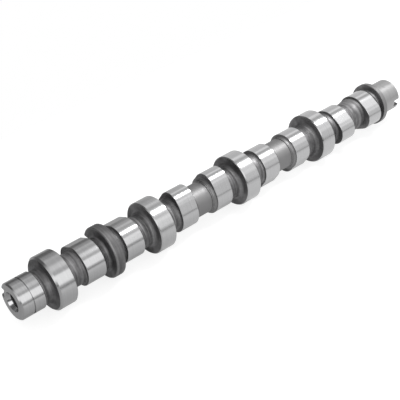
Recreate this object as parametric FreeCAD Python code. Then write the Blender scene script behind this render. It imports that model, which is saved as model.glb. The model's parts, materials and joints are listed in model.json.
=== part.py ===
import FreeCAD, Part
import math
import os

# Camshaft of a four-cylinder engine: one iron casting, ground on its journals, lobes and ends.
# The shaft's axis is X, from the nose to the tail. Lengths are millimetres, angles are degrees.
# A station is a distance along the axis from the nose face.
# The frame's origin is on the axis, at the middle of the front journal.

# Cylinders
cylinder_pitch = 88.5
first_cylinder_station = 79.2
lobe_directions = (0.0, 90.0, -90.0, 180.0)

# Cam lobes, two for each cylinder
lobe_offset = 17.7
lobe_width = 15.8
lobe_base_radius = 15.4
lobe_lift = 3.8
lobe_tip_radius = 11.7
lobe_edge_chamfer = 0.3
lobe_root_fillet = 2.0
lobe_hub_inset = 0.3

# Journals
journal_diameter = 42.0
journal_width = 14.4
journal_chamfer = 0.7
journal_root_fillet = 3.5
front_journal_station = 33.3
front_journal_lead = 1.4

# Necks between the ground sections
neck_diameter = 26.0
turned_neck_diameter = 25.6
turned_neck_ring_width = 3.2
turned_neck_ring_height = 0.4
rear_boss_diameter = 27.6
rear_boss_width = 5.4
rear_boss_taper = 2.2
rear_boss_fillet = 0.6

# Setting collar between the first cylinder's lobes, with a notch for the setting pin
collar_diameter = 41.0
collar_width = 7.8
collar_edge_radius = 1.2
collar_root_fillet = 2.2
collar_notch_width = 10.2
collar_notch_floor = 14.2
collar_notch_corner = 1.2

# Nose that carries the drive gear
nose_diameter = 28.6
nose_length = 18.7
nose_face_chamfer = 1.0
nose_rear_chamfer = 0.4
nose_root_fillet = 0.8
nose_groove_station = 9.3
nose_groove_width = 1.2
nose_groove_depth = 0.8
nose_notch_width = 8.0
nose_notch_length = 3.5
nose_notch_floor = 9.6
nose_notch_direction = 7.0

# Centring cone, pilot bore and tapped hole in the nose; the tapped hole is at its drilled size
centring_diameter = 15.5
centring_angle = 60.0
pilot_diameter = 12.4
pilot_length = 10.0
tapped_diameter = 10.2
tapped_length = 26.0
tapped_mouth_chamfer = 0.9
drill_point_angle = 118.0

# Thrust flange and tail journal
flange_gap = 5.0
flange_diameter = 37.4
flange_width = 4.2
flange_chamfer = 0.4
flange_root_fillet = 1.6
tail_diameter = 28.2
tail_length = 22.5
tail_chamfer = 0.8
tail_root_fillet = 0.8
tail_slot_width = 6.1
tail_slot_length = 7.0
tail_slot_drop = 0.8
centre_hole_diameter = 4.0
centre_hole_length = 4.0
centre_point_angle = 60.0

# Values that follow from the sizes above
cutter_overrun = 2.0
neck_radius = neck_diameter / 2
cylinder_stations = [first_cylinder_station + i * cylinder_pitch for i in range(len(lobe_directions))]
journal_stations = [front_journal_station]
journal_stations += [station + cylinder_pitch / 2 for station in cylinder_stations[:-1]]
flange_station = cylinder_stations[-1] + lobe_offset + lobe_width / 2 + flange_gap
tail_start_station = flange_station + flange_width
tail_end_station = tail_start_station + tail_length


def point(station, radius):
    """A point of the shaft's half section, which lies in the XZ plane."""
    return FreeCAD.Vector(station, 0, radius)


def corner_reaches(corners):
    """How far each corner's arc reaches along its sides, limited so that two arcs share a side."""
    count = len(corners)
    points = [point(x, r) for x, r, _ in corners]
    reaches = []
    for i in range(count):
        before = points[i] - points[i - 1]
        after = points[(i + 1) % count] - points[i]
        turn = before.getAngle(after)
        reaches.append(corners[i][2] * math.tan(turn / 2))
    for i in range(count):
        following = (i + 1) % count
        side = points[i].distanceToPoint(points[following])
        needed = reaches[i] + reaches[following]
        if needed > side:
            reaches[i] *= side / needed
            reaches[following] *= side / needed
    return points, reaches


def rounded_outline(corners):
    """A closed wire through (station, radius, fillet) corners, with an arc at each fillet."""
    points, reaches = corner_reaches(corners)
    count = len(corners)
    edges = []
    for i in range(count):
        here = points[i]
        towards_last = (points[i - 1] - here).normalize()
        towards_next = (points[(i + 1) % count] - here).normalize()
        leave = here
        if reaches[i] > 0:
            arrive = here + towards_last * reaches[i]
            leave = here + towards_next * reaches[i]
            half_opening = towards_last.getAngle(towards_next) / 2
            radius = reaches[i] * math.tan(half_opening)
            inward = (towards_last + towards_next).normalize()
            middle = here + inward * (radius / math.sin(half_opening) - radius)
            edges.append(Part.Arc(arrive, middle, leave).toShape())
        following = (i + 1) % count
        end = points[following] + (here - points[following]).normalize() * reaches[following]
        if leave.distanceToPoint(end) > 1e-6:
            edges.append(Part.LineSegment(leave, end).toShape())
    return Part.Wire(Part.__sortEdges__(edges))


def revolved(corners):
    """The solid that a half section makes when it turns about the shaft's axis."""
    face = Part.Face(rounded_outline(corners))
    return face.revolve(FreeCAD.Vector(0, 0, 0), FreeCAD.Vector(1, 0, 0), 360)


def raised_section(start, end, radius, chamfer, root_fillet, lead=None):
    """Corners of a ground section that stands up from the necks on both sides."""
    first_chamfer = chamfer if lead is None else lead
    return [
        (start, neck_radius, root_fillet),
        (start, radius - first_chamfer, 0),
        (start + first_chamfer, radius, 0),
        (end - chamfer, radius, 0),
        (end, radius - chamfer, 0),
        (end, neck_radius, root_fillet),
    ]


def nose_corners():
    """Corners of the nose with its ring groove, from the face to the neck behind it."""
    radius = nose_diameter / 2
    groove_start = nose_groove_station - nose_groove_width / 2
    groove_end = nose_groove_station + nose_groove_width / 2
    groove_radius = radius - nose_groove_depth
    return [
        (0, 0, 0),
        (0, radius - nose_face_chamfer, 0),
        (nose_face_chamfer, radius, 0),
        (groove_start, radius, 0),
        (groove_start, groove_radius, 0),
        (groove_end, groove_radius, 0),
        (groove_end, radius, 0),
        (nose_length - nose_rear_chamfer, radius, 0),
        (nose_length, radius - nose_rear_chamfer, 0),
        (nose_length, neck_radius, nose_root_fillet),
    ]


def journal_corners(station):
    """Corners of one ground journal; the front one has a longer lead on its nose side."""
    start = station - journal_width / 2
    lead = front_journal_lead if station == front_journal_station else None
    return raised_section(start, start + journal_width, journal_diameter / 2,
                          journal_chamfer, journal_root_fillet, lead)


def hub_corners(station):
    """Corners of the hub inside one lobe, whose root fillets blend the lobe into its necks."""
    start = station - lobe_width / 2
    hub_radius = lobe_base_radius - lobe_hub_inset
    return raised_section(start, start + lobe_width, hub_radius, 0, lobe_root_fillet)[:2] + [
        (start + lobe_width, hub_radius, 0),
        (start + lobe_width, neck_radius, lobe_root_fillet),
    ]


def collar_corners(station):
    """Corners of the as-cast collar, with rounded rims."""
    start = station - collar_width / 2
    end = start + collar_width
    radius = collar_diameter / 2
    return [
        (start, neck_radius, collar_root_fillet),
        (start, radius, collar_edge_radius),
        (end, radius, collar_edge_radius),
        (end, neck_radius, collar_root_fillet),
    ]


def turned_neck_corners(start, end):
    """Corners of a turned neck between two lobes, which stops at a cast ring by the second lobe."""
    step = neck_radius - turned_neck_diameter / 2
    ring_start = end - turned_neck_ring_width
    return [
        (start + lobe_root_fillet, neck_radius, 0),
        (start + lobe_root_fillet + step, turned_neck_diameter / 2, 0),
        (ring_start - step, turned_neck_diameter / 2, 0),
        (ring_start, neck_radius + turned_neck_ring_height, 0),
        (end - lobe_root_fillet, neck_radius + turned_neck_ring_height, 0),
    ]


def rear_boss_corners(lobe_start):
    """Corners of the cast boss in front of the last lobe."""
    boss_start = lobe_start - rear_boss_width
    boss_radius = rear_boss_diameter / 2
    return [
        (boss_start - rear_boss_taper, neck_radius, rear_boss_taper),
        (boss_start, boss_radius, rear_boss_taper),
        (lobe_start, boss_radius, rear_boss_fillet),
    ]


def tail_corners():
    """Corners of the thrust flange and of the tail journal behind it."""
    flange_radius = flange_diameter / 2
    tail_radius = tail_diameter / 2
    return [
        (flange_station, neck_radius, flange_root_fillet),
        (flange_station, flange_radius - flange_chamfer, 0),
        (flange_station + flange_chamfer, flange_radius, 0),
        (tail_start_station - flange_chamfer, flange_radius, 0),
        (tail_start_station, flange_radius - flange_chamfer, 0),
        (tail_start_station, tail_radius, tail_root_fillet),
        (tail_end_station - tail_chamfer, tail_radius, 0),
        (tail_end_station, tail_radius - tail_chamfer, 0),
        (tail_end_station, 0, 0),
    ]


def shaft_core():
    """Everything that is round about the axis, as one revolved solid."""
    corners = nose_corners()
    corners += journal_corners(journal_stations[0])
    last = len(cylinder_stations) - 1
    for i, station in enumerate(cylinder_stations):
        first_lobe = hub_corners(station - lobe_offset)
        second_lobe = hub_corners(station + lobe_offset)
        corners += first_lobe
        if i == 0:
            corners += collar_corners(station)
            corners += second_lobe
        elif i == last:
            corners += rear_boss_corners(second_lobe[0][0])
            corners += second_lobe[1:]
        else:
            corners += turned_neck_corners(first_lobe[-1][0], second_lobe[0][0])
            corners += second_lobe
        if i < last:
            corners += journal_corners(journal_stations[i + 1])
    return revolved(corners + tail_corners())


def lobe_outline():
    """A cam outline about the origin, tip towards +Y: two arcs and the two flanks that touch both."""
    tip_distance = lobe_base_radius + lobe_lift - lobe_tip_radius
    flank = math.acos((lobe_base_radius - lobe_tip_radius) / tip_distance)

    def on_base(angle):
        return FreeCAD.Vector(0, lobe_base_radius * math.cos(angle), lobe_base_radius * math.sin(angle))

    def on_tip(angle):
        y = tip_distance + lobe_tip_radius * math.cos(angle)
        return FreeCAD.Vector(0, y, lobe_tip_radius * math.sin(angle))

    return Part.Wire([
        Part.Arc(on_tip(-flank), on_tip(0), on_tip(flank)).toShape(),
        Part.LineSegment(on_tip(flank), on_base(flank)).toShape(),
        Part.Arc(on_base(flank), on_base(math.pi), on_base(-flank)).toShape(),
        Part.LineSegment(on_base(-flank), on_tip(-flank)).toShape(),
    ])


def lobe(station, direction):
    """One cam lobe with chamfered edges, its tip turned from +Y towards +Z by the direction."""
    solid = Part.Face(lobe_outline()).extrude(FreeCAD.Vector(lobe_width, 0, 0))
    rims = [edge for edge in solid.Edges if edge.BoundBox.XLength < lobe_edge_chamfer / 10]
    solid = solid.makeChamfer(lobe_edge_chamfer, rims)
    solid.rotate(FreeCAD.Vector(0, 0, 0), FreeCAD.Vector(1, 0, 0), direction)
    solid.translate(FreeCAD.Vector(station - lobe_width / 2, 0, 0))
    return solid


def block(x_range, y_range, z_range):
    """A box between the given limits."""
    corner = FreeCAD.Vector(x_range[0], y_range[0], z_range[0])
    return Part.makeBox(x_range[1] - x_range[0], y_range[1] - y_range[0], z_range[1] - z_range[0], corner)


def drilled_hole(mouth, inward, diameter, length, point_angle):
    """A round hole of the stated full-width length with a drill's cone at its bottom."""
    radius = diameter / 2
    cone_length = radius / math.tan(math.radians(point_angle / 2))
    direction = FreeCAD.Vector(inward, 0, 0)
    barrel = Part.makeCylinder(radius, length, FreeCAD.Vector(mouth, 0, 0), direction)
    bottom = FreeCAD.Vector(mouth + inward * length, 0, 0)
    return barrel.fuse(Part.makeCone(radius, 0, cone_length, bottom, direction))


def countersink(mouth, mouth_diameter, hole_diameter, cone_angle):
    """A cone that widens a hole's mouth towards the nose."""
    depth = (mouth_diameter - hole_diameter) / 2 / math.tan(math.radians(cone_angle / 2))
    return Part.makeCone(mouth_diameter / 2, hole_diameter / 2, depth, FreeCAD.Vector(mouth, 0, 0),
                         FreeCAD.Vector(1, 0, 0))


def nose_holes():
    """The centring cone in the nose face, the pilot bore, and the tapped hole at its bottom."""
    pilot = Part.makeCylinder(pilot_diameter / 2, pilot_length, FreeCAD.Vector(0, 0, 0),
                              FreeCAD.Vector(1, 0, 0))
    tapped_mouth_diameter = tapped_diameter + 2 * tapped_mouth_chamfer
    return [
        pilot,
        countersink(0, centring_diameter, pilot_diameter, centring_angle),
        drilled_hole(pilot_length, 1, tapped_diameter, tapped_length, drill_point_angle),
        countersink(pilot_length, tapped_mouth_diameter, tapped_diameter, 90.0),
    ]


def nose_notch():
    """The notch in the nose's rim that locates the drive gear, turned from +Y towards +Z."""
    cutter = block((-cutter_overrun, nose_notch_length),
                   (nose_notch_floor, nose_diameter / 2 + cutter_overrun),
                   (-nose_notch_width / 2, nose_notch_width / 2))
    cutter.rotate(FreeCAD.Vector(0, 0, 0), FreeCAD.Vector(1, 0, 0), nose_notch_direction)
    return cutter


def collar_notch():
    """The setting pin's notch through the collar, with rounded floor corners."""
    half_length = collar_width / 2 + collar_root_fillet
    half_width = collar_notch_width / 2
    cutter = block((first_cylinder_station - half_length, first_cylinder_station + half_length),
                   (collar_notch_floor, collar_diameter / 2 + cutter_overrun),
                   (-half_width, half_width))
    floor_corners = []
    for edge in cutter.Edges:
        box = edge.BoundBox
        if box.XLength > half_length and box.YMax < collar_notch_floor + collar_notch_corner:
            floor_corners.append(edge)
    return cutter.makeFillet(collar_notch_corner, floor_corners)


def tail_slot():
    """The cross slot that drives what couples to the tail; it is off centre, to fit one way only."""
    reach = tail_diameter / 2 + cutter_overrun
    return block((tail_end_station - tail_slot_length, tail_end_station + cutter_overrun),
                 (-reach, reach),
                 (-tail_slot_drop - tail_slot_width / 2, -tail_slot_drop + tail_slot_width / 2))


def camshaft():
    """The finished shaft, moved so that the front journal's middle is at the origin."""
    lobes = []
    for station, direction in zip(cylinder_stations, lobe_directions):
        for side in (-1, 1):
            lobes.append(lobe(station + side * lobe_offset, direction))
    body = shaft_core().fuse(lobes)
    centre_hole = drilled_hole(tail_end_station - tail_slot_length, -1, centre_hole_diameter,
                               centre_hole_length, centre_point_angle)
    body = body.cut(nose_holes() + [nose_notch(), collar_notch(), tail_slot(), centre_hole])
    body = body.removeSplitter()
    body.translate(FreeCAD.Vector(-front_journal_station, 0, 0))
    return body.Solids[0] if len(body.Solids) == 1 else body


os.makedirs("parts", exist_ok=True)
shaft = camshaft()
shaft.exportStep("parts/camshaft.step")
print("solids", len(shaft.Solids), "valid", shaft.isValid(), "volume", round(shaft.Volume, 1))
print("box", shaft.BoundBox)
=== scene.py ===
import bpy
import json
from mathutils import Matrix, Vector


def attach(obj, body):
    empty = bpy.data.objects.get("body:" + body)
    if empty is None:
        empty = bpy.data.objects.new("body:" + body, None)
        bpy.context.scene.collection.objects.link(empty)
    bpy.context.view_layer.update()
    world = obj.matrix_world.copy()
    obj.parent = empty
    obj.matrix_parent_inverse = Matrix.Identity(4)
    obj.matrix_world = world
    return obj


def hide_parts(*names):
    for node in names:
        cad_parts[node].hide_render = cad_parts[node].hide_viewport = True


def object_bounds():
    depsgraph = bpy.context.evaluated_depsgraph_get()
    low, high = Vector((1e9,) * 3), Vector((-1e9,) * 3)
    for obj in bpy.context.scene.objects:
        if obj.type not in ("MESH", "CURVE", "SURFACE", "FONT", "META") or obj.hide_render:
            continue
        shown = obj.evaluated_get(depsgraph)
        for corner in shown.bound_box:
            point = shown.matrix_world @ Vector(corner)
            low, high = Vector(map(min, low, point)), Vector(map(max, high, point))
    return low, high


bl_info = {
    "name": "Camshaft",
    "version": (1, 0, 0),
    "blender": (4, 5, 0),
    "location": "3D View > Sidebar > Camshaft",
    "description": "A cast iron camshaft with ground journals and lobes, lying on a pale studio floor",
    "category": "Object",
}

import json
import math

import bmesh
import bpy
from mathutils import Vector

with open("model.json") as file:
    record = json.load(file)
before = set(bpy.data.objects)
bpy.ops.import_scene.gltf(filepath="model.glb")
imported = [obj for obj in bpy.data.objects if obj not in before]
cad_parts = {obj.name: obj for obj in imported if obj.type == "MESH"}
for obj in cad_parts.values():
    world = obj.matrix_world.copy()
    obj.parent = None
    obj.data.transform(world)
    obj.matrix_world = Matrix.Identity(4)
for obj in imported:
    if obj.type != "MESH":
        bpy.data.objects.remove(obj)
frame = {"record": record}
cad_low, cad_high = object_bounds()

# Finishes of the shaft's surface, as the numbers that its rings carry
GROUND, CAST, TURNED, FACED, WORN = range(5)

# The way that each cylinder's lobes point, turned from +Y towards +Z
LOBE_DIRECTIONS = (0.0, math.pi / 2, -math.pi / 2, math.pi)


def record_mount(name):
    """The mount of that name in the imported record."""
    return next(mount for mount in frame["record"]["mounts"] if mount["name"] == name)


def mount_radius(name):
    """A round mount's radius in metres."""
    return record_mount(name)["dims"]["r_mm"] / 1000


def length(name, default, description):
    """A property that holds one length in metres."""
    return bpy.props.FloatProperty(name=name, description=description, default=default, min=0.0,
                                   unit="LENGTH", precision=5)


def colour(name, default, description):
    """A property that holds one colour."""
    return bpy.props.FloatVectorProperty(name=name, description=description, default=default,
                                         subtype="COLOR", min=0.0, max=1.0)


def factor(name, default, description, highest=1.0):
    """A property that holds one plain number."""
    return bpy.props.FloatProperty(name=name, description=description, default=default, min=0.0,
                                   max=highest, precision=3)


def rotation(name, default, description):
    """A property that holds one angle in radians."""
    return bpy.props.FloatProperty(name=name, description=description, default=default, unit="ROTATION")


def location(name, default, description):
    """A property that holds one place in metres."""
    return bpy.props.FloatVectorProperty(name=name, description=description, default=default,
                                         subtype="TRANSLATION", unit="LENGTH")


class CamshaftSections(bpy.types.PropertyGroup):
    """Sizes of the journals, necks, collar and flange."""

    first_cylinder: length("First cylinder", 0.0459, "Front journal's middle to the first cylinder's middle")
    pitch: length("Cylinder pitch", 0.0885, "Distance between neighbouring cylinders")
    journal_radius: length("Journal radius", mount_radius("front_journal"), "Radius of the four journals")
    journal_width: length("Journal width", 0.0144, "Width of each journal with its chamfers")
    journal_chamfer: length("Journal chamfer", 0.0007, "Chamfer of the journals' edges")
    journal_lead: length("Front lead", 0.0014, "Longer chamfer on the front journal's nose side")
    journal_root: length("Journal root", 0.0035, "Fillet between a journal's side and the necks")
    neck_radius: length("Neck radius", 0.0130, "Radius of the cast necks")
    turned_radius: length("Turned neck radius", 0.0128, "Radius of the two turned necks")
    ring_width: length("Ring width", 0.0032, "Cast ring left at the end of a turned neck, fillet included")
    ring_height: length("Ring height", 0.0004, "How far that ring stands above the neck")
    boss_radius: length("Boss radius", 0.0138, "Radius of the cast boss in front of the last lobe")
    boss_width: length("Boss width", 0.0054, "Width of that boss")
    boss_taper: length("Boss taper", 0.0022, "Width of the slope that leads up to that boss")
    collar_radius: length("Collar radius", 0.0205, "Radius of the setting collar")
    collar_width: length("Collar width", 0.0078, "Width of the setting collar")
    collar_edge: length("Collar edge", 0.0012, "Rounding of the collar's cast rims")
    # That band gives the collar's front edge turned iron's paler colour, a painted highlight
    collar_highlight_band: length("Collar highlight band", 0.00132, "Width of the painted highlight band at the collar's front rim")
    collar_root: length("Collar root", 0.0022, "Fillet between the collar and the necks")
    flange_gap: length("Flange gap", 0.0050, "Neck between the last lobe and the thrust flange")
    flange_radius: length("Flange radius", 0.0187, "Radius of the thrust flange")
    flange_width: length("Flange width", 0.0042, "Width of the thrust flange")
    flange_edge: length("Flange edge", 0.0004, "Chamfer of the flange's rim")
    flange_root: length("Flange root", 0.0016, "Fillet in front of the flange")


class CamshaftLobes(bpy.types.PropertyGroup):
    """Sizes of the cam lobes."""

    offset: length("Offset", 0.0177, "Distance of a lobe's middle from its cylinder's middle")
    width: length("Width", 0.0158, "Width of each lobe")
    base_radius: length("Base radius", 0.0154, "Radius of the lobe's base circle")
    lift: length("Lift", 0.0038, "How far the tip stands above the base circle")
    tip_radius: length("Tip radius", 0.0117, "Radius of the arc round the tip")
    edge: length("Edge chamfer", 0.0003, "Chamfer of the lobes' edges")
    root: length("Root fillet", 0.0020, "Fillet between a lobe's hub and the necks")
    hub_inset: length("Hub inset", 0.0003, "How far the hub lies inside the base circle")


class CamshaftEnds(bpy.types.PropertyGroup):
    """Sizes of the nose, its holes and the tail."""

    nose_face: length("Nose face", 0.0333, "Distance of the nose face from the front journal's middle")
    nose_radius: length("Nose radius", mount_radius("gear_seat"), "Radius of the nose")
    nose_length: length("Nose length", 0.0187, "Length of the nose")
    nose_chamfer: length("Nose chamfer", 0.0010, "Chamfer round the nose face")
    nose_rear: length("Rear chamfer", 0.0004, "Chamfer at the nose's rear end")
    nose_root: length("Nose root", 0.0008, "Fillet behind the nose")
    groove_place: length("Groove place", 0.0093, "Distance of the ring groove from the nose face")
    groove_width: length("Groove width", 0.0012, "Width of the ring groove")
    groove_depth: length("Groove depth", 0.0008, "Depth of the ring groove")
    pilot_radius: length("Pilot radius", mount_radius("gear_pilot"), "Radius of the pilot bore")
    pilot_length: length("Pilot length", 0.0100, "Depth of the pilot bore")
    centring_radius: length("Centring radius", 0.00775, "Radius of the centring cone in the nose face")
    centring_length: length("Centring length", 0.002685, "Depth of the centring cone")
    tapped_radius: length("Tapped radius", mount_radius("gear_bolt"), "Radius of the tapped hole as drilled")
    tapped_length: length("Tapped length", 0.0260, "Depth of the tapped hole below the pilot bore")
    tapped_chamfer: length("Tapped chamfer", 0.0009, "Chamfer of the tapped hole's mouth")
    thread_length: length("Thread length", 0.0196, "Length of the thread in the tapped hole")
    thread_pitch: length("Thread pitch", 0.00175, "Pitch of the thread")
    thread_depth: length("Thread depth", 0.0009, "Depth of the thread below the drilled wall")
    tail_radius: length("Tail radius", mount_radius("tail_journal"), "Radius of the tail journal")
    tail_length: length("Tail length", 0.0225, "Length of the tail journal")
    tail_chamfer: length("Tail chamfer", 0.0008, "Chamfer of the tail's end")
    tail_root: length("Tail root", 0.0008, "Fillet between the tail journal and the flange")
    centre_radius: length("Centre radius", mount_radius("tail_centre"), "Radius of the tail's centre hole")
    centre_length: length("Centre length", 0.0110, "Depth of the centre hole from the tail's end")


class CamshaftCuts(bpy.types.PropertyGroup):
    """Sizes of the notches and the slot."""

    nose_notch_width: length("Nose notch width", 0.0080, "Width of the notch in the nose's rim")
    nose_notch_length: length("Nose notch length", 0.0035, "Length of that notch along the shaft")
    nose_notch_floor: length("Nose notch floor", 0.0096, "Distance of its floor from the axis")
    nose_notch_direction: rotation("Nose notch direction", math.radians(7.0),
                                   "Turn of that notch from +Y towards +Z")
    collar_notch_width: length("Collar notch width", 0.0102, "Width of the setting pin's notch")
    collar_notch_floor: length("Collar notch floor", 0.0142, "Distance of its floor from the axis")
    collar_notch_corner: length("Collar notch corner", 0.0012, "Rounding of its floor's corners")
    slot_width: length("Slot width", 0.0061, "Width of the tail's cross slot")
    slot_length: length("Slot length", 0.0070, "Depth of the cross slot along the shaft")
    slot_drop: length("Slot drop", 0.0008, "How far the slot lies below the axis")


class CamshaftFinish(bpy.types.PropertyGroup):
    """Colours and strengths of the surface finishes."""

    ground_colour: colour("Ground iron", (0.50, 0.50, 0.505), "Colour of the ground surfaces")
    ground_roughness: factor("Ground roughness", 0.16, "Roughness of the ground surfaces")
    ground_lines: factor("Grinding lines", 3500.0, "Grinding marks in a metre of the shaft", 10000.0)
    ground_depth: length("Grinding depth", 0.00002, "Depth of the grinding marks")
    turned_colour: colour("Turned iron", (0.262, 0.260, 0.262), "Colour of the turned necks and edges")
    turned_roughness: factor("Turned roughness", 0.50, "Roughness of the turned necks and edges")
    turned_lines: factor("Turning lines", 1800.0, "Turning marks in a metre of the shaft", 10000.0)
    turned_depth: length("Turning depth", 0.00001, "Depth of the turning marks")
    faced_colour: colour("Faced iron", (0.385, 0.384, 0.385), "Colour of the nose face and the tail journal")
    faced_roughness: factor("Faced roughness", 0.37, "Roughness of the nose face and the tail journal")
    cast_colour: colour("Cast skin", (0.180, 0.178, 0.181), "Colour of the cast skin")
    cast_roughness: factor("Cast roughness", 0.55, "Roughness of the cast skin")
    cast_contrast: factor("Cast contrast", 0.55, "How far the cast skin's streaks leave its colour")
    worn_colour: colour("Worn skin", (0.156, 0.154, 0.156), "Colour of the collar's worn rim")
    worn_roughness: factor("Worn roughness", 0.52, "Roughness of the collar's worn rim")
    worn_contrast: factor("Worn contrast", 0.28, "How far the worn rim's streaks leave its colour")
    # The slot's near-black colour is painted shade, standing for the shadow deep inside the slot
    slot_shade_colour: colour("Slot shade iron", (0.07, 0.07, 0.07), "Colour inside the tail's dark slot")
    slot_roughness: factor("Slot roughness", 0.35, "Roughness inside the tail's slot")


class CamshaftStudio(bpy.types.PropertyGroup):
    """Values of the floor, the light and the camera."""

    floor_colour: colour("Floor", (0.40, 0.40, 0.40), "Colour of the floor")
    floor_length: length("Floor length", 1.6, "Length of the floor along the shaft")
    floor_front: length("Floor front", 0.35, "How far the floor reaches in front of the shaft")
    floor_rear: length("Floor rear", 0.20, "How far the floor reaches behind the shaft")
    floor_glow: factor("Floor glow", 0.80, "Light added to the floor where the camera sees it", 2.0)
    mirror_glow_low: factor("Mirror glow, nose", 0.16, "Light added to the floor that the nose mirrors")
    mirror_glow_high: factor("Mirror glow, tail", 0.56, "Light added to the floor that the tail mirrors")
    room_level: factor("Room light", 0.72, "Level of the room's plain light", 4.0)
    mirrored_side: factor("Mirrored room, side", 0.16, "The room's level as the nose's edges mirror it", 4.0)
    mirrored_nose: factor("Mirrored room, nose", 0.72, "The room's level as the nose's end mirrors it", 4.0)
    mirrored_tail: factor("Mirrored room, tail", 0.93, "The room's level as the tail's end mirrors it", 4.0)
    roof_power: bpy.props.FloatProperty(name="Roof box", description="Power of the soft box in the roof",
                                        default=0.85, min=0.0, unit="POWER")
    roof_length: length("Roof box length", 0.33, "Length of that box along the shaft")
    roof_width: length("Roof box width", 0.064, "Width of that box across the shaft")
    roof_place: location("Roof box place", (0.37, -0.0305, 0.30), "Where the middle of that box hangs")
    lens: bpy.props.FloatProperty(name="Lens", description="Focal length on a 36 mm wide sensor",
                                  default=82.5, min=1.0, unit="CAMERA")
    camera_place: location("Camera place", (-0.23865, -0.41808, 0.43943), "Where the camera stands")
    camera_azimuth: rotation("Azimuth", math.radians(-42.10), "Turn from looking along +Y")
    camera_elevation: rotation("Elevation", math.radians(38.08), "Angle above the horizon")


class Corner:
    """A corner of the shaft's half section. Its finish is that of the stretch that follows it."""

    def __init__(self, station, radius, finish, fillet=0.0, direction=None, thread=0.0):
        self.place = Vector((station, radius))
        self.finish = finish
        self.fillet = fillet
        self.direction = direction
        self.thread = thread


def fillet_arc(before, here, after):
    """Rings of the arc that rounds a corner."""
    arc_step = math.radians(15)
    to_before = (before.place - here.place).normalized()
    to_after = (after.place - here.place).normalized()
    half_opening = to_before.angle(to_after) / 2
    reach = here.fillet / math.tan(half_opening)
    middle = here.place + (to_before + to_after).normalized() * here.fillet / math.sin(half_opening)
    start = here.place + to_before * reach - middle
    end = here.place + to_after * reach - middle
    steps = math.ceil(start.angle(end) / arc_step)
    spokes = [start.slerp(end, i / steps).normalized() * here.fillet for i in range(steps + 1)]
    return [Corner(*(middle + spoke), here.finish) for spoke in spokes]


def rounded(corners):
    """The rings of a half section, with an arc at each corner that has a fillet."""
    rings = [corners[0]]
    for before, here, after in zip(corners, corners[1:], corners[2:]):
        rings += fillet_arc(before, here, after) if here.fillet else [here]
    return rings + [corners[-1]]


def nose_hole_corners(ends):
    """The tapped hole, pilot bore and centring cone, from the drill's point out to the nose face."""
    face = -ends.nose_face
    shelf = face + ends.pilot_length
    bottom = shelf + ends.tapped_length
    point_angle = math.radians(59)
    point = bottom + ends.tapped_radius / math.tan(point_angle)
    corners = [
        Corner(point, 0.0, TURNED),
        Corner(bottom, ends.tapped_radius, TURNED),
    ]
    rings_per_turn = 8
    mouth = shelf + ends.tapped_chamfer
    turns = (ends.thread_length - ends.tapped_chamfer) / ends.thread_pitch
    count = round(turns * rings_per_turn)
    for i in range(count + 1):
        station = mouth + ends.thread_pitch / rings_per_turn * (count - i)
        corners.append(Corner(station, ends.tapped_radius, TURNED, thread=0.0 if i == 0 else 1.0))
    return corners + [
        Corner(shelf, ends.tapped_radius + ends.tapped_chamfer, TURNED),
        Corner(shelf, ends.pilot_radius, TURNED),
        Corner(face + ends.centring_length, ends.pilot_radius, GROUND),
        Corner(face, ends.centring_radius, GROUND),
    ]


def nose_corners(ends, neck_radius):
    """The nose with its ring groove, from the face to the neck behind it."""
    face = -ends.nose_face
    rear = face + ends.nose_length
    radius = ends.nose_radius
    groove_start = face + ends.groove_place - ends.groove_width / 2
    groove_end = groove_start + ends.groove_width
    return [
        Corner(face, radius - ends.nose_chamfer, GROUND),
        Corner(face + ends.nose_chamfer, radius, GROUND),
        Corner(groove_start, radius, TURNED),
        Corner(groove_start, radius - ends.groove_depth, GROUND),
        Corner(groove_end, radius - ends.groove_depth, GROUND),
        Corner(groove_end, radius, GROUND),
        Corner(rear - ends.nose_rear, radius, TURNED),
        Corner(rear, radius - ends.nose_rear, CAST),
        Corner(rear, neck_radius, CAST, fillet=ends.nose_root),
    ]


def journal_corners(sections, station, lead):
    """A ground journal between cast necks."""
    start = station - sections.journal_width / 2
    end = start + sections.journal_width
    radius = sections.journal_radius
    chamfer = sections.journal_chamfer
    return [
        Corner(start, sections.neck_radius, CAST, fillet=sections.journal_root),
        Corner(start, radius - lead, GROUND),
        Corner(start + lead, radius, GROUND),
        Corner(end - chamfer, radius, TURNED),
        Corner(end, radius - chamfer, CAST),
        Corner(end, sections.neck_radius, CAST, fillet=sections.journal_root),
    ]


def lobe_corners(lobes, neck_radius, station, direction):
    """A cam lobe on its hub, between two necks."""
    start = station - lobes.width / 2
    end = start + lobes.width
    hub_radius = lobes.base_radius - lobes.hub_inset
    edge = lobes.edge
    return [
        Corner(start, neck_radius, CAST, fillet=lobes.root),
        Corner(start, hub_radius, CAST),
        Corner(start, lobes.base_radius - edge, GROUND, direction=direction),
        Corner(start + edge, lobes.base_radius, GROUND, direction=direction),
        Corner(end - edge, lobes.base_radius, GROUND, direction=direction),
        Corner(end, lobes.base_radius - edge, CAST, direction=direction),
        Corner(end, hub_radius, CAST),
        Corner(end, neck_radius, CAST, fillet=lobes.root),
    ]


def collar_corners(sections, station):
    """The cast setting collar, with a band of turned iron at its front rim as a painted highlight."""
    start = station - sections.collar_width / 2
    end = start + sections.collar_width
    return [
        Corner(start, sections.neck_radius, CAST, fillet=sections.collar_root),
        # The front edge's turned iron is a painted highlight on the cast collar
        Corner(start, sections.collar_radius, TURNED, fillet=sections.collar_edge),
        Corner(start + sections.collar_highlight_band, sections.collar_radius, WORN),
        Corner(end, sections.collar_radius, WORN, fillet=sections.collar_edge),
        Corner(end, sections.neck_radius, CAST, fillet=sections.collar_root),
    ]


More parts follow.
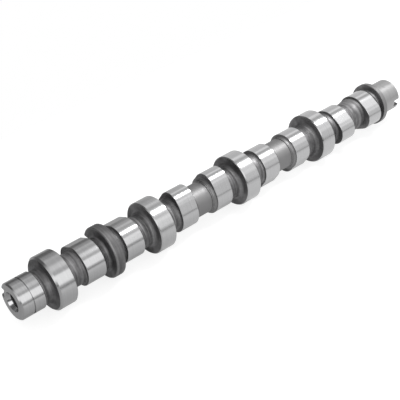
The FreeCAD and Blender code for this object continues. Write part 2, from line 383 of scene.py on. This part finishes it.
def turned_neck_corners(sections, root, start, end):
    """A turned neck between two lobes, which stops at a cast ring by the second one."""
    step = sections.neck_radius - sections.turned_radius
    ring_start = end - sections.ring_width
    ring_radius = sections.neck_radius + sections.ring_height
    return [
        Corner(start + root, sections.neck_radius, TURNED),
        Corner(start + root + step, sections.turned_radius, TURNED),
        Corner(ring_start - step, sections.turned_radius, TURNED),
        Corner(ring_start, ring_radius, TURNED),
        Corner(end - root, ring_radius, TURNED),
    ]


def boss_corners(sections, lobe_start):
    """The cast boss that runs into the last lobe."""
    start = lobe_start - sections.boss_width
    return [
        Corner(start - sections.boss_taper, sections.neck_radius, CAST),
        Corner(start, sections.boss_radius, CAST),
        Corner(lobe_start, sections.boss_radius, CAST),
    ]


def tail_corners(sections, ends, start):
    """The thrust flange, the tail journal and the centre hole in its end."""
    rear = start + sections.flange_width
    end = rear + ends.tail_length
    rim = sections.flange_radius
    edge = sections.flange_edge
    bottom = end - ends.centre_length
    point_angle = math.radians(30)
    return [
        Corner(start, sections.neck_radius, CAST, fillet=sections.flange_root),
        Corner(start, rim - edge, TURNED),
        Corner(start + edge, rim, TURNED),
        Corner(rear - edge, rim, TURNED),
        Corner(rear, rim - edge, TURNED),
        Corner(rear, ends.tail_radius, FACED, fillet=ends.tail_root),
        Corner(end - ends.tail_chamfer, ends.tail_radius, TURNED),
        Corner(end, ends.tail_radius - ends.tail_chamfer, TURNED),
        Corner(end, ends.centre_radius, TURNED),
        Corner(bottom, ends.centre_radius, TURNED),
        Corner(bottom - ends.centre_radius / math.tan(point_angle), 0.0, TURNED),
    ]


def shaft_rings(settings):
    """Every ring of the shaft, from the bottom of the nose's hole to that of the tail's hole."""
    sections, lobes, ends = settings.sections, settings.lobes, settings.ends
    neck = sections.neck_radius
    corners = nose_hole_corners(ends) + nose_corners(ends, neck)
    corners += journal_corners(sections, 0.0, sections.journal_lead)
    last = len(LOBE_DIRECTIONS) - 1
    for cylinder, direction in enumerate(LOBE_DIRECTIONS):
        station = sections.first_cylinder + cylinder * sections.pitch
        first_lobe = lobe_corners(lobes, neck, station - lobes.offset, direction)
        second_lobe = lobe_corners(lobes, neck, station + lobes.offset, direction)
        first_end = first_lobe[-1].place.x
        second_start = second_lobe[0].place.x
        corners += first_lobe
        if cylinder == 0:
            corners += collar_corners(sections, station) + second_lobe
        elif cylinder == last:
            corners += boss_corners(sections, second_start) + second_lobe[1:]
        else:
            # The tool that turned the neck also cleaned the fillet at the second lobe
            second_lobe[0].finish = TURNED
            corners += turned_neck_corners(sections, lobes.root, first_end, second_start) + second_lobe
        if cylinder < last:
            journal_station = station + sections.pitch / 2
            corners += journal_corners(sections, journal_station, sections.journal_chamfer)
    flange_start = corners[-1].place.x + sections.flange_gap
    return rounded(corners + tail_corners(sections, ends, flange_start))


def add_object(name, data):
    """A new object in the scene."""
    made = bpy.data.objects.new(name, data)
    bpy.context.scene.collection.objects.link(made)
    return made


def half_section(rings):
    """A line of points through the rings, which carries what each ring needs as attributes."""
    mesh = bpy.data.meshes.new("half_section")
    points = [(ring.place.x, 0.0, ring.place.y) for ring in rings]
    mesh.from_pydata(points, [(i, i + 1) for i in range(len(points) - 1)], [])
    values = {
        "finish": [ring.finish for ring in rings],
        "on_lobe": [0.0 if ring.direction is None else 1.0 for ring in rings],
        "direction": [ring.direction or 0.0 for ring in rings],
        "thread": [ring.thread for ring in rings],
    }
    for name, numbers in values.items():
        kind = "INT" if name == "finish" else "FLOAT"
        mesh.attributes.new(name, kind, "POINT").data.foreach_set("value", numbers)
    return add_object("half_section", mesh)


def add_node(tree, kind, inputs=None, **settings):
    """A new node. Its settings are set first, and then its inputs, with a number or from a socket."""
    made = tree.nodes.new(kind)
    for name, value in settings.items():
        setattr(made, name, value)
    for name, value in (inputs or {}).items():
        if isinstance(value, bpy.types.NodeSocket):
            tree.links.new(value, made.inputs[name])
        else:
            made.inputs[name].default_value = value
    return made


def calc(tree, operation, *values):
    """The result of a math node."""
    return add_node(tree, "ShaderNodeMath", dict(enumerate(values)), operation=operation).outputs[0]


def whole(tree, operation, *values):
    """The result of a math node for whole numbers."""
    return add_node(tree, "FunctionNodeIntegerMath", dict(enumerate(values)), operation=operation).outputs[0]


def axis_parts(tree, vector):
    """A vector's X, Y and Z."""
    return add_node(tree, "ShaderNodeSeparateXYZ", {0: vector}).outputs[:3]


def soft_step(tree, value, start, end, before=0.0, after=1.0):
    """A value that changes softly from one number to another as the given value rises."""
    return add_node(tree, "ShaderNodeMapRange", {
        "Value": value, "From Min": start, "From Max": end, "To Min": before, "To Max": after,
    }, interpolation_type="SMOOTHSTEP").outputs[0]


def new_tree(name, kind, inputs, outputs):
    """A node tree with its sockets, and its input and output nodes."""
    tree = bpy.data.node_groups.new(name, kind)
    for in_out, sockets in (("INPUT", inputs), ("OUTPUT", outputs)):
        for socket_name, socket_kind, default in sockets:
            socket = tree.interface.new_socket(socket_name, in_out=in_out, socket_type=socket_kind)
            if default is not None:
                socket.default_value = default
    return tree, tree.nodes.new("NodeGroupInput"), tree.nodes.new("NodeGroupOutput")


def arrange(tree):
    """Puts a tree's nodes in columns, in the order in which they were made."""
    rows, column_width, row_height = 6, 220, 300
    for i, each in enumerate(tree.nodes):
        each.location = (i // rows * column_width, -(i % rows) * row_height)


def lobe_rise_group():
    """How far a cam's outline stands above its base circle, at an angle from the tip's direction."""
    sockets = [(name, "NodeSocketFloat", None) for name in ("Angle", "Base radius", "Lift", "Tip radius")]
    tree, given, result = new_tree("Lobe rise", "GeometryNodeTree", sockets,
                                   [("Rise", "NodeSocketFloat", None)])
    angle, base, lift, tip = given.outputs[:4]
    away = calc(tree, "ABSOLUTE", calc(tree, "WRAP", angle, math.pi, -math.pi))
    tip_distance = calc(tree, "SUBTRACT", calc(tree, "ADD", base, lift), tip)
    flank = calc(tree, "ARCCOSINE", calc(tree, "DIVIDE", calc(tree, "SUBTRACT", base, tip), tip_distance))
    across = calc(tree, "MULTIPLY", tip, calc(tree, "SINE", flank))
    along = calc(tree, "ADD", tip_distance, calc(tree, "MULTIPLY", tip, calc(tree, "COSINE", flank)))
    tip_end = calc(tree, "ARCTAN2", across, along)
    side = calc(tree, "MULTIPLY", tip_distance, calc(tree, "SINE", away))
    depth = calc(tree, "SUBTRACT", calc(tree, "POWER", tip, 2.0), calc(tree, "POWER", side, 2.0))
    reach = calc(tree, "SQRT", calc(tree, "MAXIMUM", depth, 0.0))
    on_tip = calc(tree, "ADD", calc(tree, "MULTIPLY", tip_distance, calc(tree, "COSINE", away)), reach)
    turn = calc(tree, "MAXIMUM", calc(tree, "SUBTRACT", flank, away), 0.0)
    on_flank = calc(tree, "DIVIDE", base, calc(tree, "COSINE", turn))
    outline = add_node(tree, "GeometryNodeSwitch", {
        "Switch": calc(tree, "LESS_THAN", away, tip_end), "False": on_flank, "True": on_tip,
    }, input_type="FLOAT").outputs[0]
    tree.links.new(calc(tree, "SUBTRACT", outline, base), result.inputs["Rise"])
    arrange(tree)
    return tree


def sample_ring(tree, section, name, kind, ring):
    """A named attribute of the half section, read at one ring."""
    value = add_node(tree, "GeometryNodeInputNamedAttribute", {"Name": name}, data_type=kind)
    return add_node(tree, "GeometryNodeSampleIndex", {
        "Geometry": section, "Value": value.outputs["Attribute"], "Index": ring,
    }, data_type=kind, domain="POINT").outputs["Value"]


def shaft_tree():
    """Turns the half section about the shaft's axis, with lobes and thread that leave the round."""
    sizes = ("Base radius", "Lift", "Tip radius", "Thread pitch", "Thread depth")
    materials = ("Ground", "Cast", "Turned", "Faced", "Worn")
    inputs = [("Half section", "NodeSocketGeometry", None), ("Points around", "NodeSocketInt", 192)]
    inputs += [(name, "NodeSocketFloat", None) for name in sizes]
    inputs += [(name, "NodeSocketMaterial", None) for name in materials]
    tree, given, result = new_tree("Turned shaft", "GeometryNodeTree", inputs,
                                   [("Shaft", "NodeSocketGeometry", None)])
    section = given.outputs["Half section"]
    around = given.outputs["Points around"]
    ring_count = add_node(tree, "GeometryNodeAttributeDomainSize",
                          {"Geometry": section}).outputs["Point Count"]
    grid = add_node(tree, "GeometryNodeMeshGrid", {
        "Vertices X": whole(tree, "ADD", around, 1), "Vertices Y": ring_count,
    })
    index = add_node(tree, "GeometryNodeInputIndex").outputs[0]
    ring = whole(tree, "MODULO", index, ring_count)
    step = whole(tree, "DIVIDE_FLOOR", index, ring_count)
    angle = calc(tree, "DIVIDE", calc(tree, "MULTIPLY", step, math.tau), around)

    position = add_node(tree, "GeometryNodeInputPosition").outputs[0]
    place = add_node(tree, "GeometryNodeSampleIndex", {"Geometry": section, "Value": position, "Index": ring},
                     data_type="FLOAT_VECTOR", domain="POINT").outputs["Value"]
    station, _, section_radius = axis_parts(tree, place)
    direction = sample_ring(tree, section, "direction", "FLOAT", ring)
    lobe_rise = add_node(tree, "GeometryNodeGroup", {}, node_tree=lobe_rise_group())
    tree.links.new(calc(tree, "SUBTRACT", angle, direction), lobe_rise.inputs["Angle"])
    for name in ("Base radius", "Lift", "Tip radius"):
        tree.links.new(given.outputs[name], lobe_rise.inputs[name])
    rise = calc(tree, "MULTIPLY", lobe_rise.outputs[0], sample_ring(tree, section, "on_lobe", "FLOAT", ring))

    turns = calc(tree, "SUBTRACT", calc(tree, "DIVIDE", station, given.outputs["Thread pitch"]),
                 calc(tree, "DIVIDE", angle, math.tau))
    crest = calc(tree, "PINGPONG", turns, 0.5)
    groove = calc(tree, "MULTIPLY", calc(tree, "MULTIPLY", crest, 2.0), given.outputs["Thread depth"])
    groove = calc(tree, "MULTIPLY", groove, sample_ring(tree, section, "thread", "FLOAT", ring))

    radius = calc(tree, "ADD", calc(tree, "ADD", section_radius, rise), groove)
    point = add_node(tree, "ShaderNodeCombineXYZ", {
        "X": station,
        "Y": calc(tree, "MULTIPLY", radius, calc(tree, "COSINE", angle)),
        "Z": calc(tree, "MULTIPLY", radius, calc(tree, "SINE", angle)),
    }).outputs[0]
    shape = add_node(tree, "GeometryNodeSetPosition", {"Geometry": grid.outputs["Mesh"], "Position": point})

    band = whole(tree, "MODULO", index, whole(tree, "SUBTRACT", ring_count, 1))
    finish = add_node(tree, "GeometryNodeCaptureAttribute", {"Geometry": shape.outputs[0]}, domain="FACE")
    finish.capture_items.new("INT", "Finish")
    tree.links.new(sample_ring(tree, section, "finish", "INT", band), finish.inputs["Finish"])
    shape = add_node(tree, "GeometryNodeMergeByDistance",
                     {"Geometry": finish.outputs["Geometry"], "Distance": 1e-6})
    shape = add_node(tree, "GeometryNodeSetShadeSmooth", {"Geometry": shape.outputs[0]})
    shape = add_node(tree, "GeometryNodeRealizeInstances", {"Geometry": shape.outputs[0]})
    for number, name in enumerate(materials):
        here = add_node(tree, "FunctionNodeCompare", {2: finish.outputs["Finish"], 3: number},
                        data_type="INT", operation="GREATER_EQUAL")
        shape = add_node(tree, "GeometryNodeSetMaterial", {
            "Geometry": shape.outputs[0], "Selection": here.outputs[0], "Material": given.outputs[name],
        })
    tree.links.new(shape.outputs[0], result.inputs["Shaft"])
    arrange(tree)
    return tree


def set_inputs(modifier, values):
    """Sets a Geometry Nodes modifier's inputs by the identifiers of their sockets."""
    for item in modifier.node_group.interface.items_tree:
        if item.item_type == "SOCKET" and item.in_out == "INPUT" and item.name in values:
            modifier[item.identifier] = values[item.name]


def baked(holder, name):
    """A plain mesh object with the holder's modifiers in it. The holder is removed."""
    depsgraph = bpy.context.evaluated_depsgraph_get()
    mesh = bpy.data.meshes.new_from_object(holder.evaluated_get(depsgraph), depsgraph=depsgraph)
    bpy.data.objects.remove(holder)
    mesh.name = name
    return add_object(name, mesh)


def cutter(name, low, high, material, corner=0.0, direction=0.0):
    """A box that cuts a notch or slot, turned about the shaft's axis from +Y towards +Z.

    A corner rounds the edges along X of its lowest side in Y.
    """
    mesh = bpy.data.meshes.new(name)
    shape = bmesh.new()
    bmesh.ops.create_cube(shape, size=1.0)
    low, high = Vector(low), Vector(high)
    cube_corner = Vector((-0.5, -0.5, -0.5))
    corner_segments = 6
    for vertex in shape.verts:
        vertex.co = low + (vertex.co - cube_corner) * (high - low)
    if corner:
        floor = [edge for edge in shape.edges
                 if all(vertex.co.y < low.y + corner for vertex in edge.verts)
                 and abs(edge.verts[0].co.x - edge.verts[1].co.x) > corner]
        bmesh.ops.bevel(shape, geom=floor, offset=corner, segments=corner_segments, affect="EDGES",
                        profile=0.5)
    shape.to_mesh(mesh)
    shape.free()
    mesh.materials.append(material)
    made = add_object(name, mesh)
    made.rotation_euler.x = direction
    made.hide_render = True
    return made


def shaft_cutters(settings, cast, slot_shade_material):
    """The boxes that cut the nose's notch, the collar's notch and the tail's slot."""
    ends, cuts, sections = settings.ends, settings.cuts, settings.sections
    overrun = 0.002
    face = -ends.nose_face
    collar = sections.first_cylinder
    collar_half = sections.collar_width / 2 + sections.collar_root
    tail_end = cad_high.x
    tail_reach = ends.tail_radius + overrun
    return [
        cutter("nose_notch_cutter",
               (face - overrun, cuts.nose_notch_floor, -cuts.nose_notch_width / 2),
               (face + cuts.nose_notch_length, ends.nose_radius + overrun, cuts.nose_notch_width / 2),
               cast, direction=cuts.nose_notch_direction),
        cutter("collar_notch_cutter",
               (collar - collar_half, cuts.collar_notch_floor, -cuts.collar_notch_width / 2),
               (collar + collar_half, sections.collar_radius + overrun, cuts.collar_notch_width / 2),
               cast, corner=cuts.collar_notch_corner),
        # The tail slot's faces take the near-black iron, a painted shade of the recess
        cutter("tail_slot_cutter",
               (tail_end - cuts.slot_length, -tail_reach, -cuts.slot_drop - cuts.slot_width / 2),
               (tail_end + overrun, tail_reach, -cuts.slot_drop + cuts.slot_width / 2),
               slot_shade_material),
    ]


def object_position(tree):
    """The point's place in the object's own metres."""
    return add_node(tree, "ShaderNodeTexCoord").outputs["Object"]


def lathe_marks_group():
    """Fine lines that run round the shaft, as grinding and turning leave them."""
    tree, given, result = new_tree("Lathe marks", "ShaderNodeTree", [
        ("Lines per metre", "NodeSocketFloat", 3000.0),
        ("Run-out", "NodeSocketFloat", 12.0),
    ], [("Height", "NodeSocketFloat", None), ("Streaks", "NodeSocketFloat", None)])
    x, y, z = axis_parts(tree, object_position(tree))
    fine, slow = given.outputs[:2]
    stretched = add_node(tree, "ShaderNodeCombineXYZ", {
        "X": calc(tree, "MULTIPLY", x, fine),
        "Y": calc(tree, "MULTIPLY", y, slow),
        "Z": calc(tree, "MULTIPLY", z, slow),
    }).outputs[0]
    lines = add_node(tree, "ShaderNodeTexNoise", {
        "Vector": stretched, "Scale": 1.0, "Detail": 3.0, "Roughness": 0.6,
    })
    broad = add_node(tree, "ShaderNodeTexNoise", {
        "Vector": stretched, "Scale": 0.22, "Detail": 2.0, "Roughness": 0.5,
    })
    tree.links.new(lines.outputs[0], result.inputs["Height"])
    tree.links.new(broad.outputs[0], result.inputs["Streaks"])
    arrange(tree)
    return tree


def sand_skin_group():
    """The grain and blotches that a sand mould leaves on cast iron."""
    tree, given, result = new_tree("Sand skin", "ShaderNodeTree", [
        ("Grain scale", "NodeSocketFloat", 1000.0),
        ("Blotch scale", "NodeSocketFloat", 150.0),
    ], [("Height", "NodeSocketFloat", None), ("Blotches", "NodeSocketFloat", None)])
    place = object_position(tree)
    grain = add_node(tree, "ShaderNodeTexNoise", {
        "Vector": place, "Scale": given.outputs["Grain scale"], "Detail": 4.0, "Roughness": 0.65,
    })
    lumps = add_node(tree, "ShaderNodeTexNoise", {
        "Vector": place, "Scale": given.outputs["Blotch scale"], "Detail": 4.0, "Roughness": 0.6,
    })
    blotches = soft_step(tree, lumps.outputs[0], 0.35, 0.70)
    tree.links.new(grain.outputs[0], result.inputs["Height"])
    tree.links.new(blotches, result.inputs["Blotches"])
    arrange(tree)
    return tree


def new_material(name):
    """A node material, with its tree and its surface shader."""
    material = bpy.data.materials.new(name)
    material.use_nodes = True
    return material, material.node_tree, material.node_tree.nodes["Principled BSDF"]


def mixed_colour(tree, amount, first, second):
    """A colour between two others, by an amount from 0 to 1."""
    return add_node(tree, "ShaderNodeMix", {0: amount, 6: (*first, 1.0), 7: (*second, 1.0)},
                    data_type="RGBA").outputs[2]


def mapped(tree, value, low, high):
    """A value from 0 to 1, brought between two others."""
    return add_node(tree, "ShaderNodeMapRange", {"Value": value, "To Min": low, "To Max": high}).outputs[0]


def bump(tree, shader, height, strength, distance):
    """Feeds a height to the surface shader's normal."""
    node = add_node(tree, "ShaderNodeBump", {"Strength": strength, "Distance": distance, "Height": height})
    tree.links.new(node.outputs[0], shader.inputs["Normal"])


def machined_material(name, marks, base, roughness, lines, depth):
    """Bare iron with fine marks round the shaft."""
    streak_shade, roughness_spread, bump_strength = 0.80, 0.25, 0.25
    material, tree, shader = new_material(name)
    group = add_node(tree, "ShaderNodeGroup", {}, node_tree=marks)
    group.inputs["Lines per metre"].default_value = lines
    streaks = group.outputs["Streaks"]
    darker = [channel * streak_shade for channel in base]
    tree.links.new(mixed_colour(tree, streaks, darker, base), shader.inputs["Base Color"])
    shader.inputs["Metallic"].default_value = 1.0
    dull = mapped(tree, streaks, roughness * (1 - roughness_spread), roughness * (1 + roughness_spread))
    tree.links.new(dull, shader.inputs["Roughness"])
    bump(tree, shader, group.outputs["Height"], bump_strength, depth)
    arrange(tree)
    return material


def cast_material(name, skin, marks, base, roughness, contrast):
    """Cast iron as it left the mould, streaked round the shaft where it was brushed clean."""
    brush_lines, run_out = 650.0, 35.0
    line_share, blotch_share = 0.7, 0.3
    roughness_spread, bump_strength, grain_depth = 0.15, 0.5, 0.00018
    material, tree, shader = new_material(name)
    group = add_node(tree, "ShaderNodeGroup", {}, node_tree=skin)
    brushed = add_node(tree, "ShaderNodeGroup", {}, node_tree=marks)
    brushed.inputs["Lines per metre"].default_value = brush_lines
    brushed.inputs["Run-out"].default_value = run_out
    lines = add_node(tree, "ShaderNodeMapRange", {
        "Value": brushed.outputs["Height"], "From Min": 0.33, "From Max": 0.67, "To Max": line_share,
    }).outputs[0]
    patches = calc(tree, "MULTIPLY_ADD", group.outputs["Blotches"], blotch_share, lines)
    darker = [channel * (1 - contrast) for channel in base]
    paler = [channel * (1 + contrast) for channel in base]
    tree.links.new(mixed_colour(tree, patches, darker, paler), shader.inputs["Base Color"])
    shader.inputs["Metallic"].default_value = 0.95
    dull = mapped(tree, patches, roughness * (1 + roughness_spread), roughness * (1 - roughness_spread))
    tree.links.new(dull, shader.inputs["Roughness"])
    bump(tree, shader, group.outputs["Height"], bump_strength, grain_depth)
    arrange(tree)
    return material


def build_shaft(settings):
    """The camshaft as one closed mesh with a material for each finish."""
    finish = settings.finish
    marks = lathe_marks_group()
    ground = machined_material("ground_bright_iron", marks, finish.ground_colour, finish.ground_roughness,
                               finish.ground_lines, finish.ground_depth)
    turned = machined_material("turned_iron", marks, finish.turned_colour, finish.turned_roughness,
                               finish.turned_lines, finish.turned_depth)
    faced = machined_material("faced_iron", marks, finish.faced_colour, finish.faced_roughness,
                              finish.turned_lines, finish.turned_depth)
    skin = sand_skin_group()
    cast = cast_material("cast_iron_skin", skin, marks, finish.cast_colour, finish.cast_roughness,
                         finish.cast_contrast)
    worn = cast_material("worn_cast_skin", skin, marks, finish.worn_colour, finish.worn_roughness,
                         finish.worn_contrast)
    holder = half_section(shaft_rings(settings))
    modifier = holder.modifiers.new("Turned shaft", "NODES")
    modifier.node_group = shaft_tree()
    set_inputs(modifier, {
        "Points around": settings.points_around,
        "Base radius": settings.lobes.base_radius,
        "Lift": settings.lobes.lift,
        "Tip radius": settings.lobes.tip_radius,
        "Thread pitch": settings.ends.thread_pitch,
        "Thread depth": settings.ends.thread_depth,
        "Ground": ground,
        "Cast": cast,
        "Turned": turned,
        "Faced": faced,
        "Worn": worn,
    })
    whole_shaft = baked(holder, "uncut_shaft")
    # The grid that the shaft is made from brings an empty first slot
    empty_slot = 0
    whole_shaft.data.materials.pop(index=empty_slot)
    # Near-black iron for the tail slot's faces: painted shade, for the shadow inside the slot
    slot_shade_material = machined_material("slot_painted_shade_iron", marks, finish.slot_shade_colour, finish.slot_roughness,
                               finish.turned_lines, finish.turned_depth)
    cutters = shaft_cutters(settings, cast, slot_shade_material)
    for each in cutters:
        cut = whole_shaft.modifiers.new(each.name, "BOOLEAN")
        cut.operation = "DIFFERENCE"
        cut.solver = "MANIFOLD"
        cut.material_mode = "TRANSFER"
        cut.object = each
    shaft = baked(whole_shaft, "camshaft_casting")
    for each in cutters:
        bpy.data.objects.remove(each)
    sharp_from = math.radians(28)
    shaft.data.shade_smooth()
    shaft.data.set_sharp_from_angle(angle=sharp_from)
    weighted = shaft.modifiers.new("Weighted normals", "WEIGHTED_NORMAL")
    weighted.keep_sharp = True
    return baked(shaft, "camshaft_casting")


def studio_panel_group():
    """A soft-edged panel in the room's light, between two angles round the shaft's axis."""
    names = ("Angle", "Middle", "Half width", "Soft edge")
    tree, given, result = new_tree("Studio panel", "ShaderNodeTree",
                                   [(name, "NodeSocketFloat", None) for name in names],
                                   [("Mask", "NodeSocketFloat", None)])
    angle, middle, half_width, soft = given.outputs[:4]
    away = calc(tree, "ABSOLUTE", calc(tree, "SUBTRACT", angle, middle))
    mask = soft_step(tree, away, calc(tree, "SUBTRACT", half_width, soft),
                     calc(tree, "ADD", half_width, soft), before=1.0, after=0.0)
    tree.links.new(mask, result.inputs["Mask"])
    arrange(tree)
    return tree


# The studio's stretches along the shaft: two to the nose's side, which chamfers and the nose's cone
# mirror, then those that the nose, the middle and the tail mirror, and that past the tail, for rough
# surfaces. Each pair is the X of a direction where one stretch ends and that where the next has begun.
STRETCHES = ((-0.72, -0.64), (-0.52, -0.25), (0.38, 0.57), (0.635, 0.675), (0.74, 0.86))

# Panels of the studio: degrees round the shaft's axis from +Y over the top, half width and soft edge
# in degrees, and the light added in each stretch
STUDIO_PANELS = (
    ("rear flag", 16, 34, 6, 0, 0, -0.22, 0, 0, 0),
    ("low rear flag", 9, 16, 9, 0, 0, -0.30, 0, 0, 0),
    ("rear strip", 52, 7, 5, 0, 0, 0.10, 0.50, 0.50, 0),
    ("gap by the rear strip", 70, 5, 4, 0, 0, 0, -0.25, -0.25, 0),
    ("round the roof box", 95.5, 12, 7, 0, 0, 0.33, 1.5, 0.9, 0.4),
    ("front box", 146, 20.5, 4, 0, 0, 0.95, 0.10, 0.10, 0),
    ("middle of the front", 125, 15, 6, 0, 0, 0, 0.38, 0.38, 0),
    ("dark line at the front", 182.5, 7.5, 3, 0, 0, -0.40, -0.38, -0.38, -0.38),
    ("nose side", 115, 62, 20, 0.80, 0, 0, 0, 0, 0),
    ("box at the nose side", 134, 22, 9, 0.70, 2.2, 0, 0, 0, 0),
)


def stepped(tree, steps, values):
    """The value of the stretch that a direction lies in, with a soft change from each to the next."""
    value = values[0]
    for step, later in zip(steps, values[1:]):
        value = mapped(tree, step, value, later)
    return value


def seen_and_mirrored(tree):
    """Masks for what the camera sees itself, and for what metal or glass shows."""
    rays = add_node(tree, "ShaderNodeLightPath")
    mirrored = calc(tree, "MAXIMUM", rays.outputs["Is Glossy Ray"], rays.outputs["Is Transmission Ray"])
    return rays.outputs["Is Camera Ray"], mirrored


def build_world(studio):
    """A white room whose light has soft panels, set by the direction round the shaft's axis."""
    world = bpy.data.worlds.new("Studio")
    bpy.context.scene.world = world
    world.use_nodes = True
    tree = world.node_tree
    direction = add_node(tree, "ShaderNodeTexCoord").outputs["Generated"]
    x, y, z = axis_parts(tree, direction)
    degrees = calc(tree, "DEGREES", calc(tree, "ARCTAN2", z, y))
    steps = [soft_step(tree, x, start, end) for start, end in STRETCHES]
    light = stepped(tree, steps, (studio.mirrored_side, studio.mirrored_side,
                                  studio.mirrored_nose, studio.mirrored_tail))
    panel_tree = studio_panel_group()
    for name, middle, half_width, soft, *strengths in STUDIO_PANELS:
        panel = add_node(tree, "ShaderNodeGroup", {}, node_tree=panel_tree, label=name)
        tree.links.new(degrees, panel.inputs["Angle"])
        panel.inputs["Middle"].default_value = middle
        panel.inputs["Half width"].default_value = half_width
        panel.inputs["Soft edge"].default_value = soft
        light = calc(tree, "MULTIPLY_ADD", panel.outputs["Mask"], stepped(tree, steps, strengths), light)
    seen, mirrored = seen_and_mirrored(tree)
    strength = mapped(tree, mirrored, studio.room_level, light)
    strength = mapped(tree, seen, strength, 1.0)
    background = tree.nodes["Background"]
    background.inputs["Color"].default_value = (1.0, 1.0, 1.0, 1.0)
    tree.links.new(strength, background.inputs["Strength"])
    arrange(tree)


def build_floor(studio):
    """A plain pale floor under the shaft, white to the camera apart from the shadow."""
    middle = (cad_low.x + cad_high.x) / 2
    left, right = middle - studio.floor_length / 2, middle + studio.floor_length / 2
    corners = [(left, -studio.floor_front), (right, -studio.floor_front),
               (right, studio.floor_rear), (left, studio.floor_rear)]
    mesh = bpy.data.meshes.new("floor")
    mesh.from_pydata([(x, y, cad_low.z) for x, y in corners], [], [(0, 1, 2, 3)])
    floor = add_object("floor", mesh)
    material, tree, shader = new_material("pale_floor")
    shader.inputs["Base Color"].default_value = (*studio.floor_colour, 1.0)
    shader.inputs["Roughness"].default_value = 0.9
    shader.inputs["Specular IOR Level"].default_value = 0.0
    shader.inputs["Emission Color"].default_value = (1.0, 1.0, 1.0, 1.0)
    seen, mirrored = seen_and_mirrored(tree)
    # The mirrored glow rises along the shaft, and falls twice as fast towards the rear
    rearward, lowest_at, highest_at = -2.0, -0.12, 0.30
    x, y = axis_parts(tree, object_position(tree))[:2]
    mirror_glow = add_node(tree, "ShaderNodeMapRange", {
        "Value": calc(tree, "MULTIPLY_ADD", y, rearward, x), "From Min": lowest_at, "From Max": highest_at,
        "To Min": studio.mirror_glow_low, "To Max": studio.mirror_glow_high,
    }).outputs[0]
    glow = calc(tree, "MULTIPLY", mirrored, mirror_glow)
    glow = calc(tree, "MULTIPLY_ADD", seen, studio.floor_glow, glow)
    tree.links.new(glow, shader.inputs["Emission Strength"])
    arrange(tree)
    mesh.materials.append(material)


def build_roof_box(studio):
    """The soft box in the roof, over and past the tail, which the metal mirrors as a bright band."""
    lamp = bpy.data.lights.new("roof_box", "AREA")
    lamp.shape = "RECTANGLE"
    lamp.size = studio.roof_length
    lamp.size_y = studio.roof_width
    lamp.energy = studio.roof_power
    made = add_object("roof_box", lamp)
    made.location = studio.roof_place
    made.visible_camera = False


def build_camera(studio):
    """The camera, where the photograph was taken from."""
    camera = bpy.data.cameras.new("camera")
    camera.sensor_width = 36.0
    camera.lens = studio.lens
    made = add_object("camera", camera)
    made.location = studio.camera_place
    made.rotation_euler = (math.pi / 2 - studio.camera_elevation, 0.0, studio.camera_azimuth)
    bpy.context.scene.camera = made


class CamshaftSettings(bpy.types.PropertyGroup):
    """All sizes and finishes of the camshaft and its studio."""

    points_around: bpy.props.IntProperty(name="Points around", description="Points on each ring of the shaft",
                                         default=192, min=24)
    sections: bpy.props.PointerProperty(type=CamshaftSections)
    lobes: bpy.props.PointerProperty(type=CamshaftLobes)
    ends: bpy.props.PointerProperty(type=CamshaftEnds)
    cuts: bpy.props.PointerProperty(type=CamshaftCuts)
    finish: bpy.props.PointerProperty(type=CamshaftFinish)
    studio: bpy.props.PointerProperty(type=CamshaftStudio)


class CAMSHAFT_OT_build_shaft(bpy.types.Operator):
    """Build the camshaft: one iron casting with its ground, turned and cast surfaces"""

    bl_idname = "camshaft.build_shaft"
    bl_label = "Build camshaft"
    bl_options = {"REGISTER", "UNDO"}

    def execute(self, context):
        shaft = build_shaft(context.scene.camshaft)
        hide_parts("camshaft")
        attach(shaft, "root")
        return {"FINISHED"}


class CAMSHAFT_OT_build_stage(bpy.types.Operator):
    """Build the studio: floor, room light, lamp and camera"""

    bl_idname = "camshaft.build_stage"
    bl_label = "Build studio"
    bl_options = {"REGISTER", "UNDO"}

    def execute(self, context):
        studio = context.scene.camshaft.studio
        bpy.context.scene.view_settings.view_transform = "Standard"
        build_floor(studio)
        build_world(studio)
        build_roof_box(studio)
        build_camera(studio)
        return {"FINISHED"}


class CAMSHAFT_PT_panel(bpy.types.Panel):
    """Lists the camshaft's operators"""

    bl_idname = "CAMSHAFT_PT_panel"
    bl_label = "Camshaft"
    bl_space_type = "VIEW_3D"
    bl_region_type = "UI"
    bl_category = "Camshaft"

    def draw(self, context):
        for operator in OPERATORS:
            self.layout.operator(operator.bl_idname)


OPERATORS = (CAMSHAFT_OT_build_stage, CAMSHAFT_OT_build_shaft)
CLASSES = (
    CamshaftSections, CamshaftLobes, CamshaftEnds, CamshaftCuts, CamshaftFinish, CamshaftStudio,
    CamshaftSettings, *OPERATORS, CAMSHAFT_PT_panel,
)


def register():
    """Adds the classes, and the settings to the scene."""
    for each in CLASSES:
        bpy.utils.register_class(each)
    bpy.types.Scene.camshaft = bpy.props.PointerProperty(type=CamshaftSettings)


def unregister():
    """Takes the settings and the classes out again."""
    del bpy.types.Scene.camshaft
    for each in reversed(CLASSES):
        bpy.utils.unregister_class(each)


def main():
    """Builds everything."""
    register()
    bpy.ops.camshaft.build_stage()
    bpy.ops.camshaft.build_shaft()


if __name__ == "__main__":
    main()
